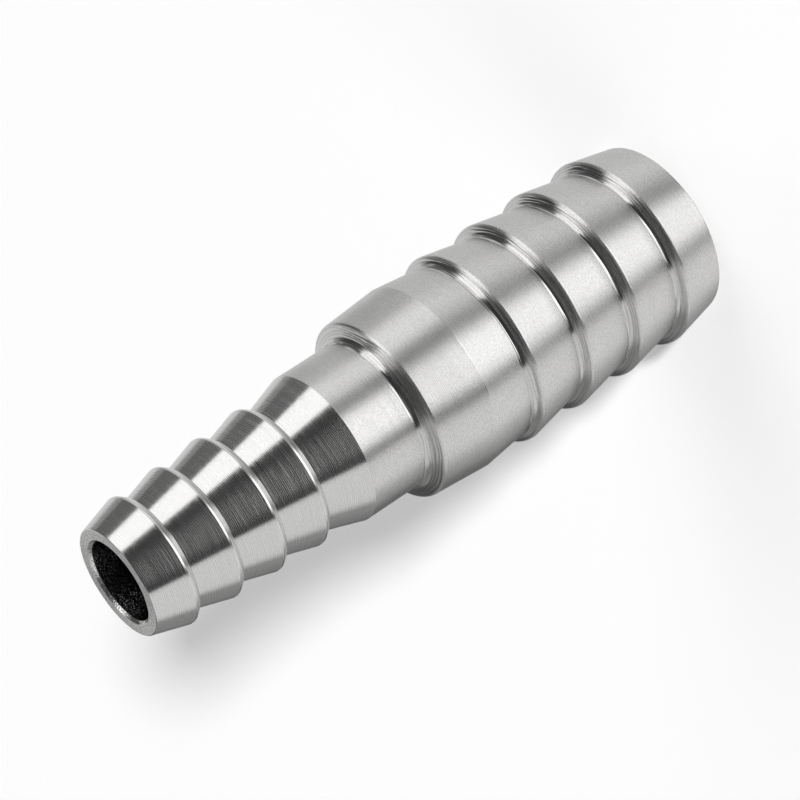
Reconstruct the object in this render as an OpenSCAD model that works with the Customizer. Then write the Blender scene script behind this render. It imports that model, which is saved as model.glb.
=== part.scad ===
// Hose barb reducer that joins a wide hose to a narrow one, turned in one piece.
// Millimetres. It stands on its large end: the axis is +Z and the origin is the
// centre of the large end face. The small end is up.

/* [Small end] */
// Diameter of the small end face at its outer edge
tip_d = 11.6; // [10:0.1:12.5]
// Diameter over the barb nearest the small end
small_crest_d = 13.9; // [13:0.1:15]
// How much each next small barb grows in diameter
small_growth = 0.4; // [0:0.1:0.6]
// Number of barbs on the small end
small_barbs = 4; // [2:1:6]
// Length from the small end face to the back edge of the first crest
small_lead_len = 3.99; // [2.5:0.01:6]
// Distance from one small crest to the next
small_pitch = 5.03; // [3.5:0.01:7]
// Length of the plain band on each small crest
small_crest_len = 0.2; // [0.1:0.01:0.35]
// Radial height of a small barb over the root behind it
small_barb_depth = 1.07; // [0.8:0.01:1.5]
// Length of the sloping land behind a small crest
back_land_len = 0.58; // [0.3:0.01:0.9]
// Radial fall of that land
back_land_drop = 0.42; // [0.2:0.01:0.6]
// Length from the last small crest to the neck
neck_run_len = 5.46; // [3:0.01:8]

/* [Neck and collar] */
// Diameter of the plain neck
neck_d = 16.1; // [15.6:0.1:18]
// Length of the neck, up to the foot of the collar
neck_len = 6.65; // [3:0.05:15]
// Angle between the collar's front face and the axis
collar_face_angle = 68; // [50:1:85]
// Diameter of the collar at its front edge
collar_front_d = 19.4; // [18.9:0.1:20.5]
// Diameter of the collar's faint middle ridge
collar_ridge_d = 20.4; // [19.6:0.1:22]
// Length from the collar's front edge to the ridge
collar_front_len = 6.29; // [3:0.01:10]
// Length from the ridge to the first large crest
collar_back_len = 5.73; // [3:0.01:10]

/* [Large end] */
// Diameter over the large barbs
large_crest_d = 21; // [20.4:0.1:22.5]
// Radial height of the first large barb over the back of the collar
first_barb_depth = 0.9; // [0.8:0.05:1.2]
// Radial height of each further large barb over its foot
large_barb_depth = 1.1; // [0.8:0.05:1.5]
// Number of barbs on the large end
large_barbs = 4; // [2:1:6]
// Distance from one large crest to the next
large_pitch = 6.52; // [4:0.01:9]
// Angle between a large barb's front face and the axis
barb_face_angle = 62; // [45:1:68]
// Length from the last large crest to the large end face
large_lead_len = 5.19; // [2.5:0.01:8]
// Radial fall from the last large crest to the edge of the large end face
large_end_drop = 1.05; // [0.5:0.05:1.3]

/* [Bore] */
// Diameter of the bore in the small end
small_bore_d = 8.6; // [6:0.1:9]
// Diameter of the bore in the large end
large_bore_d = 14.4; // [10:0.1:15]
// Depth of the large bore up to its cone
large_bore_depth = 34; // [10:0.5:35]
// Full angle of the drilled cone between the two bores
drill_angle = 118; // [90:1:140]
// Chamfer at the mouth of the small bore
small_mouth_chamfer = 0.3; // [0.1:0.05:0.6]
// Chamfer at the mouth of the large bore
large_mouth_chamfer = 0.5; // [0.1:0.05:0.8]

/* [Edges] */
// Radius of the fillet at the foot of the collar
collar_fillet_r = 0.9; // [0.2:0.05:1.1]
// Radius of the collar's front edge
collar_edge_r = 0.35; // [0.1:0.05:0.6]
// Radius of the fillet at the foot of the first large barb, behind the collar
first_fillet_r = 0.9; // [0.2:0.05:1]
// Radius of the fillet at the foot of each further large barb
large_fillet_r = 0.55; // [0.1:0.05:0.6]
// Radius of a large crest
large_crest_r = 0.35; // [0.1:0.05:0.4]
// Radius of the front edge of a small crest
small_crest_r = 0.12; // [0.05:0.01:0.25]
// Radius of the edges of the land behind a small crest
small_land_r = 0.12; // [0.05:0.01:0.18]
// Radius of the fillet at the root of a small barb
small_fillet_r = 0.2; // [0.05:0.05:0.3]
// Radius that breaks the outer edge of each end face
end_edge_r = 0.15; // [0.05:0.05:0.3]

/* [Hidden] */

// Segments round the body, and round each small edge circle
body_fn = 72;
edge_fn = 18;
// How far an edge cut or a fillet reaches past its corner, so that no sliver stays
past_corner = 0.02;
// How far an edge circle crosses the two sides that it blends, so that it meets them cleanly
past_side = 0.002;
// How far the bore cut runs past each end face
past_face = 1;

// Heights over the large end face, added up from the large end
first_large_z = large_lead_len + (large_barbs - 1) * large_pitch;
ridge_z = first_large_z + collar_back_len;
collar_front_z = ridge_z + collar_front_len;
neck_foot_z = collar_front_z + (collar_front_d - neck_d) / 2 / tan(collar_face_angle);
neck_top_z = neck_foot_z + neck_len;
last_small_z = neck_top_z + neck_run_len;
tip_z = last_small_z + (small_barbs - 1) * small_pitch + small_lead_len;

// Height and radius of the crest's back edge of small barb i, counted from the small end
function small_z(i) = tip_z - small_lead_len - i * small_pitch;
function small_r(i) = (small_crest_d + i * small_growth) / 2;

// Height of large barb i, counted from the collar, and radius and height of its foot
function large_z(i) = first_large_z - i * large_pitch;
function barb_depth(i) = i == 0 ? first_barb_depth : large_barb_depth;
function foot_r(i) = large_crest_d / 2 - barb_depth(i);
function foot_z(i) = large_z(i) + barb_depth(i) / tan(barb_face_angle);

// Each corner is [radius, height, edge radius], from the small end to the large end
small_corners = [
    for (i = [0 : small_barbs - 1]) each [
        [small_r(i), small_z(i) + small_crest_len, small_crest_r],
        [small_r(i), small_z(i), small_land_r],
        [small_r(i) - back_land_drop, small_z(i) - back_land_len, small_land_r],
        [small_r(i) - small_barb_depth, small_z(i) - back_land_len, small_fillet_r]
    ]
];

collar_corners = [
    [neck_d / 2, neck_top_z, 0],
    [neck_d / 2, neck_foot_z, collar_fillet_r],
    [collar_front_d / 2, collar_front_z, collar_edge_r],
    [collar_ridge_d / 2, ridge_z, 0]
];

large_corners = [
    for (i = [0 : large_barbs - 1]) each [
        [foot_r(i), foot_z(i), i == 0 ? first_fillet_r : large_fillet_r],
        [large_crest_d / 2, large_z(i), large_crest_r]
    ]
];

outer_corners = concat(
    [[0, tip_z, 0], [tip_d / 2, tip_z, end_edge_r]],
    small_corners,
    collar_corners,
    large_corners,
    [[large_crest_d / 2 - large_end_drop, 0, end_edge_r], [0, 0, 0]]
);

function at(c) = [c[0], c[1]];
function unit(v) = v / norm(v);
// Positive where the outline turns outward at corner b, on its way from a to c
function turn(a, b, c) = cross(at(c) - at(b), at(b) - at(a));

// The piece between corner b and the circle that touches both of its sides
module corner_piece(a, b, c, r) {
    to_a = unit(at(a) - at(b));
    to_c = unit(at(c) - at(b));
    inward = unit(to_a + to_c);
    half_angle = acos(to_a * inward);
    reach = r / tan(half_angle);
    centre = at(b) + inward * r / sin(half_angle);
    difference() {
        polygon([
            at(b) + to_a * reach,
            centre,
            at(b) + to_c * reach,
            at(b) - inward * past_corner
        ]);
        translate(centre)
            circle(r = r + past_side, $fn = edge_fn);
    }
}

// One side of the body in section: straight sides, filleted feet and rounded crests
module outer_section(corners) {
    inner = [for (i = [1 : len(corners) - 2]) if (corners[i][2] > 0) i];
    difference() {
        union() {
            polygon([for (c = corners) at(c)]);
            for (i = inner)
                if (turn(corners[i - 1], corners[i], corners[i + 1]) < 0)
                    corner_piece(corners[i - 1], corners[i], corners[i + 1], corners[i][2]);
        }
        for (i = inner)
            if (turn(corners[i - 1], corners[i], corners[i + 1]) > 0)
                corner_piece(corners[i - 1], corners[i], corners[i + 1], corners[i][2]);
    }
}

// One side of the stepped bore in section, past both end faces
module bore_section() {
    small_r = small_bore_d / 2;
    large_r = large_bore_d / 2;
    cone_len = (large_r - small_r) / tan(drill_angle / 2);
    polygon([
        [0, -past_face],
        [large_r + large_mouth_chamfer + past_face, -past_face],
        [large_r, large_mouth_chamfer],
        [large_r, large_bore_depth],
        [small_r, large_bore_depth + cone_len],
        [small_r, tip_z - small_mouth_chamfer],
        [small_r + small_mouth_chamfer + past_face, tip_z + past_face],
        [0, tip_z + past_face]
    ]);
}

module reducer() {
    color([0.66, 0.66, 0.65])
        rotate_extrude($fn = body_fn)
            difference() {
                outer_section(outer_corners);
                bore_section();
            }
}

reducer();
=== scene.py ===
"""Hose barb reducer, turned from one bar of steel, standing on a pale studio floor.

The frame holds the part at its real size. This script gives it a finely turned
surface, its steel finishes, the floor, the light and the camera. Sizes of the
part are in millimetres, as in its source, and become metres in the mesh.
"""

import math

import bpy
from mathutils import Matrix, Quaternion, Vector


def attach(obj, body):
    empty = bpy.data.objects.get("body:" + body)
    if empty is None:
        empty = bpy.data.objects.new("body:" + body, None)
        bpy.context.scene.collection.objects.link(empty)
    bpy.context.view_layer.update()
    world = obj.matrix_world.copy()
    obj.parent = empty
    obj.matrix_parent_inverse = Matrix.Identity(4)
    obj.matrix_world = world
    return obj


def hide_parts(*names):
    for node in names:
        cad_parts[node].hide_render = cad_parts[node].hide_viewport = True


MM = 0.001

# Small end, all lengths in millimetres
TIP_D = 11.6
SMALL_CREST_D = 13.9
SMALL_GROWTH = 0.4
SMALL_BARBS = 4
SMALL_LEAD_LEN = 3.99
SMALL_PITCH = 5.03
SMALL_CREST_LEN = 0.2
SMALL_BARB_DEPTH = 1.07
BACK_LAND_LEN = 0.58
BACK_LAND_DROP = 0.42
NECK_RUN_LEN = 5.46

# Neck and collar
NECK_D = 16.1
NECK_LEN = 6.65
COLLAR_FACE_ANGLE = 68
COLLAR_FRONT_D = 19.4
COLLAR_RIDGE_D = 20.4
COLLAR_FRONT_LEN = 6.29
COLLAR_BACK_LEN = 5.73
# The fine straight band round the ridge, where two cuts meet
RIDGE_BAND_HALF_WIDTH = 0.022
RIDGE_BAND_DROP = 0.006

# Large end
LARGE_CREST_D = 21
FIRST_BARB_DEPTH = 0.9
LARGE_BARB_DEPTH = 1.1
LARGE_BARBS = 4
LARGE_PITCH = 6.52
BARB_FACE_ANGLE = 62
LARGE_LEAD_LEN = 5.19
LARGE_END_DROP = 1.05

# Bore
SMALL_BORE_D = 8.6
LARGE_BORE_D = 14.4
LARGE_BORE_DEPTH = 34
DRILL_ANGLE = 118
SMALL_MOUTH_CHAMFER = 0.3
LARGE_MOUTH_CHAMFER = 0.5

# Edge radii
COLLAR_FILLET_R = 0.9
COLLAR_EDGE_R = 0.35
FIRST_FILLET_R = 0.9
LARGE_FILLET_R = 0.55
LARGE_CREST_R = 0.35
SMALL_CREST_R = 0.12
SMALL_LAND_R = 0.12
SMALL_FILLET_R = 0.2
END_EDGE_R = 0.15

# Segments round the part, degrees of arc between two rings on a rounded edge, and fewest steps
SEGMENTS = 288
ARC_STEP = 9
LEAST_ARC_STEPS = 3

# Steel colours: the outside; the fillets and steep faces, where a darker copy of the same steel is
# painted shade; and the bore, whose dark colour is painted shade
BRIGHT = (0.66, 0.656, 0.648)
PAINTED_SHADE_STEEL = (0.56, 0.556, 0.549)
PAINTED_SHADE_BORE = (0.15, 0.149, 0.147)

# How much the radius counts in the run along the surface, so that rings show on steep faces too
RUN_PER_RADIUS = 0.8
# Noise per millimetre round the axis and along it, for fine scratches and for the waver
SCRATCHES_PER_MM = (0.25, 9)
WAVER_PER_MM = (0.15, 1.2)
# How many turns the waver shifts the feed marks
WAVER_TURNS = 2.5
CLOUDS_PER_MM = 0.35
# Noise levels between which the rings and the grain go from dark to light
LINE_EDGES = (0.2, 0.8)
GRAIN_EDGES = (0.34, 0.66)

# Camera: where it stands, the point it looks at and how far it is rolled, in metres and degrees
CAMERA_PLACE = (0, -0.286025, 0.169050)
CAMERA_AIM = (-0.000218, 0, 0.034251)
CAMERA_ROLL = -123.337
CAMERA_LENS = 146.76
CAMERA_SENSOR = 36
CAMERA_NEAR = 0.01

# Floor and lamp, in metres and degrees
FLOOR_SIZE = 3
FLOOR_COLOUR = (0.93, 0.93, 0.93, 1)
FLOOR_LIFT = 0.105
SUN_AZIMUTH = 4.1
SUN_ELEVATION = 19
SUN_SPREAD = 4.5
SUN_STRENGTH = 4.8

# The level of the tent's bare wall
TENT_WALL = 0.50
# What hangs or lies before that wall. Each row covers those before it. Azimuth 0 is the
# camera's side and 90 is +X. A row is a name, the middle azimuth, half the width, the lowest
# and highest elevation, the level, and the softness of the edges. Angles are in degrees.
TENT = [
    ("table", 0, 180, -95, -11, 0.76, 4),
    ("roof edge", 0, 180, 67, 76, 0.10, 3),
    ("roof gap", 0, 180, 75, 95, 0.03, 3),
    ("left back wall", -145, 35, -13, 62, 0.30, 8),
    ("left back wall, dark end", -168, 14, -13, 40, 0.10, 8),
    ("left back wall, upper half", -134, 17, 42, 68, 0.64, 6),
    ("left wall", -77, 35, -11, 66, 0.84, 9),
    ("right back wall", 160, 20, -11, 62, 0.80, 5),
    ("camera side flag", -2, 45.5, -11, 16, 0.04, 2),
    ("camera side flag, faint middle", -14, 18, -11, 20, 0.14, 11),
    ("camera side flag, middle", -5, 46, 16, 38, 0.03, 4.5),
    ("camera side flag, high", -4.5, 50, 38, 50, 0.03, 4),
    ("camera side flag, higher", -5, 59, 48, 58, 0.03, 9),
    ("camera side flag, top", 3, 73, 57, 67, 0.05, 9),
    ("right wall", 63.5, 20, -11, 26, 1.48, 2),
    ("right wall, upper half", 67.5, 24.5, 26, 38, 1.60, 3),
    ("right wall, high", 73, 26, 38, 48, 1.60, 3),
    ("upper right panel", 93, 37, 47, 58, 1.60, 4),
    ("top right panel", 114, 38, 56, 66, 1.55, 5),
    ("right flag", 102.5, 20, -13, 12, 0.15, 3),
    ("right gap", 131, 9, -6, 14, 0.45, 4),
    ("right flag, upper half", 119, 27, 12, 38, 0.07, 4),
    ("right flag, high", 124, 23, 36, 50, 0.07, 3),
    ("right flag, corner", 140, 9, 48, 58, 0.12, 3),
    ("right flag, foot", 123, 13, -17, -6, 0.16, 5),
    ("back wall behind the part", 180, 9, 11, 30, 0.70, 4),
    ("back wall, upper half", 180, 18, 30, 76, 0.06, 4),
    ("far table light in front", -6.5, 25, -34, -11, 2.45, 8),
    ("near table light in front", -7, 29, -60, -34, 1.40, 8),
    ("close table light in front", -6, 29, -80, -60, 2.0, 5),
    ("far table gap right", 34, 9, -34, -12, 0.40, 4),
    ("near table gap right", 42, 10, -95, -34, 0.34, 4),
    ("near table shade right", 58, 8, -95, -34, 0.50, 5),
    ("far table gap left", -45, 5.5, -34, -12, 0.13, 3),
    ("near table gap left", -50, 6, -95, -34, 0.14, 3),
    ("far table light right", 64, 14, -34, -12, 0.92, 6),
    ("far table light left", -74, 19, -34, -12, 0.94, 4),
    ("near table light left", -88, 32, -95, -34, 0.92, 5),
    ("far table shade left", -120, 16, -34, -12, 0.36, 8),
    ("far table shadow", -152, 20, -34, -12, 0.12, 8),
    ("near table shadow", -155, 22, -44, -34, 0.40, 8),
    ("table under the part", 0, 180, -95, -72, 0.10, 4),
]


# Profile of the part


def small_z(tip_z, i):
    """Height of small barb i, counted from the small end."""
    return tip_z - SMALL_LEAD_LEN - i * SMALL_PITCH


def outer_corners():
    """The outside from the small end to the large end.

    A corner is its radius, its height, its edge radius and the finish of the side after it.
    """
    first_large_z = LARGE_LEAD_LEN + (LARGE_BARBS - 1) * LARGE_PITCH
    ridge_z = first_large_z + COLLAR_BACK_LEN
    collar_front_z = ridge_z + COLLAR_FRONT_LEN
    face_rise = (COLLAR_FRONT_D - NECK_D) / 2 / math.tan(math.radians(COLLAR_FACE_ANGLE))
    neck_foot_z = collar_front_z + face_rise
    neck_top_z = neck_foot_z + NECK_LEN
    last_small_z = neck_top_z + NECK_RUN_LEN
    tip_z = last_small_z + (SMALL_BARBS - 1) * SMALL_PITCH + SMALL_LEAD_LEN

    corners = [(TIP_D / 2, tip_z, END_EDGE_R, "polished")]
    for i in range(SMALL_BARBS):
        crest_r = (SMALL_CREST_D + i * SMALL_GROWTH) / 2
        crest_z = small_z(tip_z, i)
        corners += [
            (crest_r, crest_z + SMALL_CREST_LEN, SMALL_CREST_R, "land"),
            (crest_r, crest_z, SMALL_LAND_R, "land"),
            (crest_r - BACK_LAND_DROP, crest_z - BACK_LAND_LEN, SMALL_LAND_R, "shoulder"),
            (crest_r - SMALL_BARB_DEPTH, crest_z - BACK_LAND_LEN, SMALL_FILLET_R, "polished"),
        ]
    corners += [
        (NECK_D / 2, neck_top_z, 0, "satin"),
        (NECK_D / 2, neck_foot_z, COLLAR_FILLET_R, "shoulder"),
        (COLLAR_FRONT_D / 2, collar_front_z, COLLAR_EDGE_R, "satin"),
        (COLLAR_RIDGE_D / 2 - RIDGE_BAND_DROP, ridge_z + RIDGE_BAND_HALF_WIDTH, 0, "land"),
        (COLLAR_RIDGE_D / 2 - RIDGE_BAND_DROP, ridge_z - RIDGE_BAND_HALF_WIDTH, 0, "satin"),
    ]
    for i in range(LARGE_BARBS):
        depth = LARGE_BARB_DEPTH if i else FIRST_BARB_DEPTH
        fillet_r = LARGE_FILLET_R if i else FIRST_FILLET_R
        crest_z = first_large_z - i * LARGE_PITCH
        foot_z = crest_z + depth / math.tan(math.radians(BARB_FACE_ANGLE))
        corners += [
            (LARGE_CREST_D / 2 - depth, foot_z, fillet_r, "shoulder"),
            (LARGE_CREST_D / 2, crest_z, LARGE_CREST_R, "satin"),
        ]
    corners.append((LARGE_CREST_D / 2 - LARGE_END_DROP, 0, END_EDGE_R, "end"))
    return corners


def bore_corners(tip_z):
    """The bore from the large mouth up to the small mouth, with corners of the same form."""
    small_r = SMALL_BORE_D / 2
    large_r = LARGE_BORE_D / 2
    cone_len = (large_r - small_r) / math.tan(math.radians(DRILL_ANGLE / 2))
    return [
        (large_r + LARGE_MOUTH_CHAMFER, 0, 0, "edge"),
        (large_r, LARGE_MOUTH_CHAMFER, 0, "bore"),
        (large_r, LARGE_BORE_DEPTH, 0, "bore"),
        (small_r, LARGE_BORE_DEPTH + cone_len, 0, "bore"),
        (small_r, tip_z - SMALL_MOUTH_CHAMFER, 0, "mouth"),
        (small_r + SMALL_MOUTH_CHAMFER, tip_z, 0, "end"),
    ]


def side_normal(a, b):
    """The way out of the metal on the straight side from a to b."""
    run = (b - a).normalized()
    return Vector((-run.y, run.x))


def corner_points(before, here, after, edge_r):
    """Points of one corner with their normals, and whether its edge stands proud."""
    to_before = (before - here).normalized()
    to_after = (after - here).normalized()
    proud = to_before.cross(to_after) > 0
    if not edge_r:
        return [(here, None)], proud
    inward = (to_before + to_after).normalized()
    half_angle = to_before.angle(inward)
    centre = here + inward * edge_r / math.sin(half_angle)
    start = here + to_before * edge_r / math.tan(half_angle) - centre
    end = here + to_after * edge_r / math.tan(half_angle) - centre
    sweep = math.atan2(start.cross(end), start.dot(end))
    steps = max(LEAST_ARC_STEPS, math.ceil(abs(math.degrees(sweep)) / ARC_STEP))
    points = []
    for step in range(steps + 1):
        angle = sweep * step / steps
        spoke = Vector((
            start.x * math.cos(angle) - start.y * math.sin(angle),
            start.x * math.sin(angle) + start.y * math.cos(angle),
        ))
        points.append((centre + spoke, spoke.normalized() * (1 if proud else -1)))
    return points, proud


def turned_profile():
    """Closed outline as a list of points, and a list of bands (start, end, two normals, finish)."""
    corners = outer_corners()
    corners += bore_corners(corners[0][1])
    places = [Vector((r, z)) for r, z, _, _ in corners]
    points = []
    bands = []
    for i, (_, _, edge_r, finish) in enumerate(corners):
        here = places[i]
        after = places[(i + 1) % len(places)]
        arc, proud = corner_points(places[i - 1], here, after, edge_r)
        first = len(points)
        points += [place for place, _ in arc]
        # Hollow arcs, the creases, take the shoulder finish, whose darker colour is painted shade
        arc_finish = "edge" if proud else "shoulder"
        if proud and finish == "satin":
            arc_finish = "satin"
        for k in range(len(arc) - 1):
            bands.append((first + k, first + k + 1, arc[k][1], arc[k + 1][1], arc_finish))
        side = side_normal(here, after)
        bands.append((len(points) - 1, len(points), side, side, finish))
    last = bands[-1]
    bands[-1] = (last[0], 0, *last[2:])
    return points, bands


def turned_mesh(name, finishes):
    """The outline turned round the axis, with exact normals and a finish for each band."""
    points, bands = turned_profile()
    spokes = [
        (math.cos(2 * math.pi * k / SEGMENTS), math.sin(2 * math.pi * k / SEGMENTS))
        for k in range(SEGMENTS)
    ]
    vertices = [
        (p.x * MM * c, p.x * MM * s, p.y * MM) for p in points for c, s in spokes
    ]
    faces = []
    normals = []
    slots = []
    for start, end, start_normal, end_normal, finish in bands:
        for k in range(SEGMENTS):
            n = (k + 1) % SEGMENTS
            faces.append((
                start * SEGMENTS + k, end * SEGMENTS + k, end * SEGMENTS + n, start * SEGMENTS + n
            ))
            for normal, spoke in (
                (start_normal, spokes[k]), (end_normal, spokes[k]),
                (end_normal, spokes[n]), (start_normal, spokes[n]),
            ):
                normals.append((normal.x * spoke[0], normal.x * spoke[1], normal.y))
            slots.append(finishes.index(finish))
    mesh = bpy.data.meshes.new(name)
    mesh.from_pydata(vertices, [], faces)
    mesh.polygons.foreach_set("material_index", slots)
    mesh.polygons.foreach_set("use_smooth", [True] * len(faces))
    mesh.normals_split_custom_set(normals)
    mesh.update()
    return mesh


# Node helpers


def link(tree, source, target):
    tree.links.new(source, target)


def node(tree, kind, **settings):
    made = tree.nodes.new(kind)
    for key, value in settings.items():
        setattr(made, key, value)
    return made


def feed(tree, socket, value):
    """Sets a socket to a number, or links an output to it."""
    if isinstance(value, bpy.types.NodeSocket):
        tree.links.new(value, socket)
    else:
        socket.default_value = value


def maths(tree, operation, *values):
    """One Math node; each value is a number or an output."""
    made = node(tree, "ShaderNodeMath", operation=operation)
    for socket, value in zip(made.inputs, values):
        feed(tree, socket, value)
    return made.outputs[0]


def soft_step(tree, value, start, end):
    """0 at start and 1 at end, with a smooth slope between."""
    made = node(tree, "ShaderNodeMapRange", interpolation_type="SMOOTHSTEP")
    feed(tree, made.inputs["Value"], value)
    made.inputs["From Min"].default_value = start
    made.inputs["From Max"].default_value = end
    return made.outputs["Result"]


def spread(tree, value, low, high):
    """Value 0 to 1 becomes low to high."""
    made = node(tree, "ShaderNodeMapRange")
    feed(tree, made.inputs["Value"], value)
    made.inputs["To Min"].default_value = low
    made.inputs["To Max"].default_value = high
    return made.outputs["Result"]


def noise(tree, vector, scale, detail, rough=0.5):
    made = node(tree, "ShaderNodeTexNoise", noise_dimensions="3D")
    feed(tree, made.inputs["Vector"], vector)
    made.inputs["Scale"].default_value = scale
    made.inputs["Detail"].default_value = detail
    made.inputs["Roughness"].default_value = rough
    return made.outputs["Fac"]


# Steel finishes


def place_and_run(tree):
    """Two ways across the axis, and the run along the surface, all in millimetres."""
    place = node(tree, "ShaderNodeTexCoord").outputs["Object"]
    split = node(tree, "ShaderNodeSeparateXYZ")
    link(tree, place, split.inputs[0])
    x, y, z = [maths(tree, "DIVIDE", output, MM) for output in split.outputs]
    reach = maths(
        tree, "SQRT",
        maths(tree, "ADD", maths(tree, "MULTIPLY", x, x), maths(tree, "MULTIPLY", y, y)),
    )
    return x, y, maths(tree, "SUBTRACT", z, maths(tree, "MULTIPLY", reach, RUN_PER_RADIUS))


def turning_noise(tree, per_mm):
    """Noise that runs round the axis as turning lines."""
    round_per_mm, along_per_mm = per_mm
    x, y, run = place_and_run(tree)
    joined = node(tree, "ShaderNodeCombineXYZ")
    link(tree, maths(tree, "MULTIPLY", x, round_per_mm), joined.inputs[0])
    link(tree, maths(tree, "MULTIPLY", y, round_per_mm), joined.inputs[1])
    link(tree, maths(tree, "MULTIPLY", run, along_per_mm), joined.inputs[2])
    return noise(tree, joined.outputs[0], 1, 1)


def feed_marks(tree, pitch):
    """The even rings that the cutting edge leaves, 0 to 1, with a slight waver."""
    run = place_and_run(tree)[2]
    waver = maths(tree, "MULTIPLY", turning_noise(tree, WAVER_PER_MM), WAVER_TURNS)
    turns = maths(tree, "ADD", maths(tree, "DIVIDE", run, pitch), waver)
    wave = maths(tree, "SINE", maths(tree, "MULTIPLY", turns, 2 * math.pi))
    return maths(tree, "ADD", maths(tree, "MULTIPLY", wave, 0.5), 0.5)


def steel(
    name, colour, roughness, anisotropy, cloud,
    feed_pitch=0.21, line_height=0.003, line_tone=0.05, line_gloss=0.05,
    grain_per_mm=5, grain_height=0, grain_tone=0.03,
):
    """Turned steel: fine rings round the axis, a fine grain and clouds of slowly changing gloss.

    The pitch and the heights are in millimetres. The tones and the gloss are how far the
    rings and the grain take the colour and the roughness to either side.
    """
    material = bpy.data.materials.new(name)
    material.use_nodes = True
    tree = material.node_tree
    shader = tree.nodes["Principled BSDF"]
    shader.inputs["Metallic"].default_value = 1
    shader.inputs["Anisotropic"].default_value = anisotropy
    # The rings run round the part, so the gloss spreads along it
    shader.inputs["Anisotropic Rotation"].default_value = 0.25
    tangent = node(tree, "ShaderNodeTangent", direction_type="RADIAL", axis="Z")
    link(tree, tangent.outputs[0], shader.inputs["Tangent"])

    scratches = turning_noise(tree, SCRATCHES_PER_MM)
    lines = maths(
        tree, "MULTIPLY", maths(tree, "ADD", scratches, feed_marks(tree, feed_pitch)), 0.5
    )
    sharp_lines = soft_step(tree, lines, *LINE_EDGES)
    place = node(tree, "ShaderNodeTexCoord").outputs["Object"]
    grain = noise(tree, place, grain_per_mm / MM, 1)
    sharp_grain = soft_step(tree, grain, *GRAIN_EDGES)
    clouds = noise(tree, place, CLOUDS_PER_MM / MM, 2)

    tone = maths(
        tree, "MULTIPLY",
        spread(tree, sharp_lines, 1 - line_tone, 1 + line_tone),
        spread(tree, sharp_grain, 1 - grain_tone, 1 + grain_tone),
    )
    shade = node(tree, "ShaderNodeVectorMath", operation="SCALE")
    shade.inputs[0].default_value = colour
    link(tree, tone, shade.inputs["Scale"])
    link(tree, shade.outputs[0], shader.inputs["Base Color"])

    gloss = maths(
        tree, "ADD",
        spread(tree, sharp_lines, -line_gloss, line_gloss),
        spread(tree, clouds, roughness - cloud, roughness + cloud),
    )
    link(tree, gloss, shader.inputs["Roughness"])

    height = maths(
        tree, "ADD",
        maths(tree, "MULTIPLY", lines, line_height),
        maths(tree, "MULTIPLY", grain, grain_height),
    )
    bump = node(tree, "ShaderNodeBump")
    bump.inputs["Strength"].default_value = 1
    bump.inputs["Distance"].default_value = MM
    link(tree, height, bump.inputs["Height"])
    link(tree, bump.outputs[0], shader.inputs["Normal"])
    return material


def steel_finishes():
    """The finishes by name, in the order of the mesh's slots. The shoulder and the bore finishes
    have darker colours that are painted shade.
    """
    return {
        "polished": steel(
            "steel_polished", BRIGHT, roughness=0.18, anisotropy=0.8, cloud=0.02,
            feed_pitch=0.19, line_height=0.011, line_tone=0.08, grain_per_mm=6,
        ),
        "satin": steel(
            "steel_satin", BRIGHT, roughness=0.34, anisotropy=0.75, cloud=0.03,
            feed_pitch=0.19, line_height=0.012, line_tone=0.075, line_gloss=0.06,
            grain_per_mm=7.5, grain_height=0.006, grain_tone=0.11,
        ),
        "land": steel(
            "steel_land", BRIGHT, roughness=0.22, anisotropy=0.6, cloud=0.03, line_gloss=0.04,
        ),
        # The shoulder finish has a darker copy of the steel's colour: painted shade on fillets,
        # creases and steep faces
        "shoulder": steel(
            "steel_shoulder_painted_shade", PAINTED_SHADE_STEEL, roughness=0.13, anisotropy=0.5, cloud=0.02,
            feed_pitch=0.38, line_height=0.018, line_tone=0.1, line_gloss=0.03, grain_tone=0.04,
        ),
        "edge": steel(
            "steel_edge", BRIGHT, roughness=0.16, anisotropy=0.4, cloud=0.04, line_gloss=0.03,
            grain_height=0.0003,
        ),
        "end": steel(
            "steel_end", BRIGHT, roughness=0.36, anisotropy=0.5, cloud=0.05, feed_pitch=0.25,
            line_height=0.012, line_tone=0.14, grain_per_mm=6, grain_height=0.014,
            grain_tone=0.22,
        ),
        "mouth": steel(
            "steel_mouth", BRIGHT, roughness=0.2, anisotropy=0.3, cloud=0.05, line_height=0.01,
            line_tone=0.1, grain_per_mm=6, grain_height=0.03, grain_tone=0.35,
        ),
        # The bore's dark colour is painted shade inside the bore; its grain varies the tone at
        # random
        "bore": steel(
            "steel_bore_painted_shade", PAINTED_SHADE_BORE, roughness=0.2, anisotropy=0, cloud=0.04, line_height=0.001,
            line_tone=0.03, line_gloss=0.02, grain_per_mm=6.5, grain_height=0.11,
            grain_tone=0.7,
        ),
    }


def make_reducer():
    finishes = steel_finishes()
    piece = bpy.data.objects.new("turned_reducer", turned_mesh("turned_reducer", list(finishes)))
    for material in finishes.values():
        piece.data.materials.append(material)
    bpy.context.scene.collection.objects.link(piece)
    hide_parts("reducer")
    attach(piece, "root")
    return piece


# Studio


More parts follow.
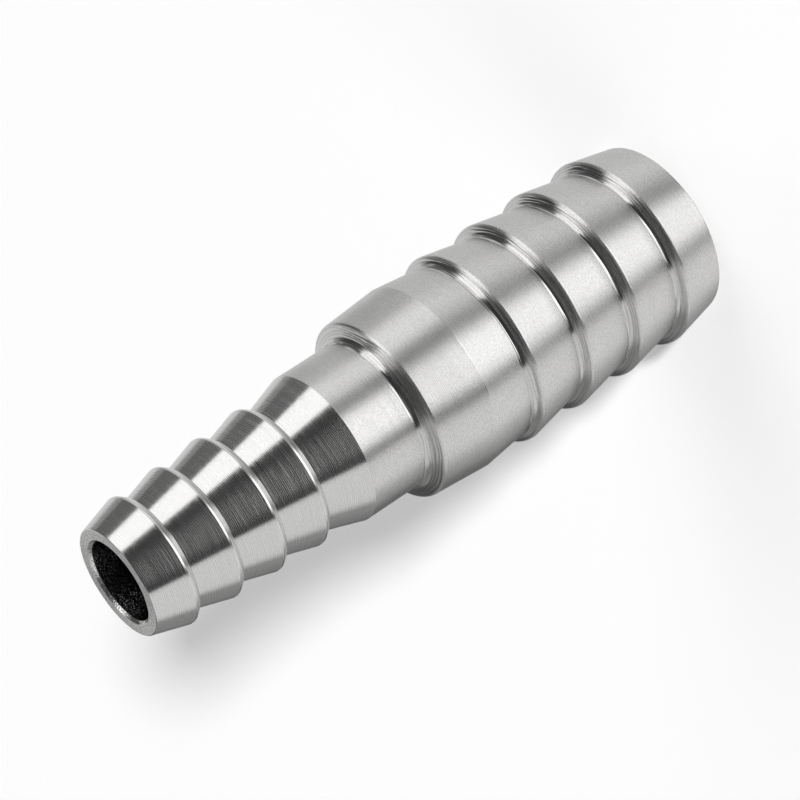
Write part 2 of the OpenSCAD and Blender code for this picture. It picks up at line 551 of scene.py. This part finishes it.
def make_floor():
    """A pale floor: its own colour plus a little lift where the camera or a reflection sees it."""
    half = FLOOR_SIZE / 2
    mesh = bpy.data.meshes.new("floor")
    mesh.from_pydata(
        [(-half, -half, 0), (half, -half, 0), (half, half, 0), (-half, half, 0)], [], [(0, 1, 2, 3)]
    )
    floor = bpy.data.objects.new("floor", mesh)
    bpy.context.scene.collection.objects.link(floor)
    material = bpy.data.materials.new("floor_white")
    material.use_nodes = True
    tree = material.node_tree
    tree.nodes.clear()
    matte = node(tree, "ShaderNodeBsdfDiffuse")
    matte.inputs["Color"].default_value = FLOOR_COLOUR
    lift = node(tree, "ShaderNodeEmission")
    ray = node(tree, "ShaderNodeLightPath")
    seen = maths(
        tree, "MAXIMUM",
        ray.outputs["Is Camera Ray"],
        maths(tree, "MAXIMUM", ray.outputs["Is Glossy Ray"], ray.outputs["Is Transmission Ray"]),
    )
    link(tree, maths(tree, "MULTIPLY", seen, FLOOR_LIFT), lift.inputs["Strength"])
    both = node(tree, "ShaderNodeAddShader")
    link(tree, matte.outputs[0], both.inputs[0])
    link(tree, lift.outputs[0], both.inputs[1])
    out = node(tree, "ShaderNodeOutputMaterial")
    link(tree, both.outputs[0], out.inputs["Surface"])
    mesh.materials.append(material)
    # The metal sees the table through the tent, which has it at its lit level
    floor.visible_glossy = False
    return floor


def within(tree, value, half, softness):
    """1 where the value is less than half away from zero, with a soft edge."""
    return soft_step(tree, maths(tree, "ABSOLUTE", value), half + softness, half - softness)


def tent_level(tree):
    """The light that comes from each direction of the tent, with its walls, panels and gaps."""
    towards = node(tree, "ShaderNodeTexCoord").outputs["Generated"]
    split = node(tree, "ShaderNodeSeparateXYZ")
    link(tree, towards, split.inputs[0])
    x, y, z = split.outputs
    to_camera = maths(tree, "MULTIPLY", y, -1)
    azimuth = maths(tree, "MULTIPLY", maths(tree, "ARCTAN2", x, to_camera), 180 / math.pi)
    elevation = maths(tree, "MULTIPLY", maths(tree, "ARCSINE", z), 180 / math.pi)
    level = TENT_WALL
    for name, middle, half_width, lowest, highest, strength, softness in TENT:
        above = maths(tree, "SUBTRACT", elevation, (lowest + highest) / 2)
        inside = within(tree, above, (highest - lowest) / 2, softness)
        if half_width < 180:
            aside = maths(tree, "WRAP", maths(tree, "SUBTRACT", azimuth, middle), 180, -180)
            inside = maths(tree, "MULTIPLY", within(tree, aside, half_width, softness), inside)
        mix = node(tree, "ShaderNodeMix", data_type="FLOAT", label=name)
        link(tree, inside, mix.inputs[0])
        feed(tree, mix.inputs[2], level)
        feed(tree, mix.inputs[3], strength)
        level = mix.outputs[0]
    return level


def make_tent():
    """A soft light tent round the part. Where the floor ends, the camera sees plain white."""
    world = bpy.data.worlds.new("tent")
    bpy.context.scene.world = world
    world.use_nodes = True
    tree = world.node_tree
    background = tree.nodes["Background"]
    background.inputs["Color"].default_value = (1, 1, 1, 1)
    ray = node(tree, "ShaderNodeLightPath")
    mix = node(tree, "ShaderNodeMix", data_type="FLOAT")
    link(tree, ray.outputs["Is Camera Ray"], mix.inputs[0])
    link(tree, tent_level(tree), mix.inputs[2])
    mix.inputs[3].default_value = 1
    link(tree, mix.outputs[0], background.inputs["Strength"])


def make_sun():
    """A low lamp with a slightly soft shadow, which gives the floor half of its light."""
    lamp = bpy.data.lights.new("key", "SUN")
    lamp.energy = SUN_STRENGTH
    lamp.angle = math.radians(SUN_SPREAD)
    sun = bpy.data.objects.new("key", lamp)
    bpy.context.scene.collection.objects.link(sun)
    a, e = math.radians(SUN_AZIMUTH), math.radians(SUN_ELEVATION)
    from_lamp = Vector((math.sin(a) * math.cos(e), -math.cos(a) * math.cos(e), math.sin(e)))
    sun.location = from_lamp
    sun.rotation_mode = "QUATERNION"
    sun.rotation_quaternion = from_lamp.to_track_quat("Z", "Y")
    # The metal shows the tent alone, without a glint of the lamp
    sun.visible_glossy = False


def make_camera():
    lens = bpy.data.cameras.new("camera")
    lens.lens = CAMERA_LENS
    lens.sensor_width = CAMERA_SENSOR
    lens.clip_start = CAMERA_NEAR
    camera = bpy.data.objects.new("camera", lens)
    bpy.context.scene.collection.objects.link(camera)
    camera.location = CAMERA_PLACE
    upright = (Vector(CAMERA_AIM) - Vector(CAMERA_PLACE)).to_track_quat("-Z", "Y")
    camera.rotation_mode = "QUATERNION"
    camera.rotation_quaternion = upright @ Quaternion((0, 0, 1), math.radians(CAMERA_ROLL))
    bpy.context.scene.camera = camera


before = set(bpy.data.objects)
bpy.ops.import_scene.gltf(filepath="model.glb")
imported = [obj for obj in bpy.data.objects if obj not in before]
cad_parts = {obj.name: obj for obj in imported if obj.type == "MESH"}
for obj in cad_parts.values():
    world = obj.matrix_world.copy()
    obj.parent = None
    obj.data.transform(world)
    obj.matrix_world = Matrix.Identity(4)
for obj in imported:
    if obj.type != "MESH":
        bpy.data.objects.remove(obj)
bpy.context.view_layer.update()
make_reducer()
make_floor()
make_tent()
make_sun()
make_camera()
bpy.context.scene.view_settings.view_transform = "Standard"
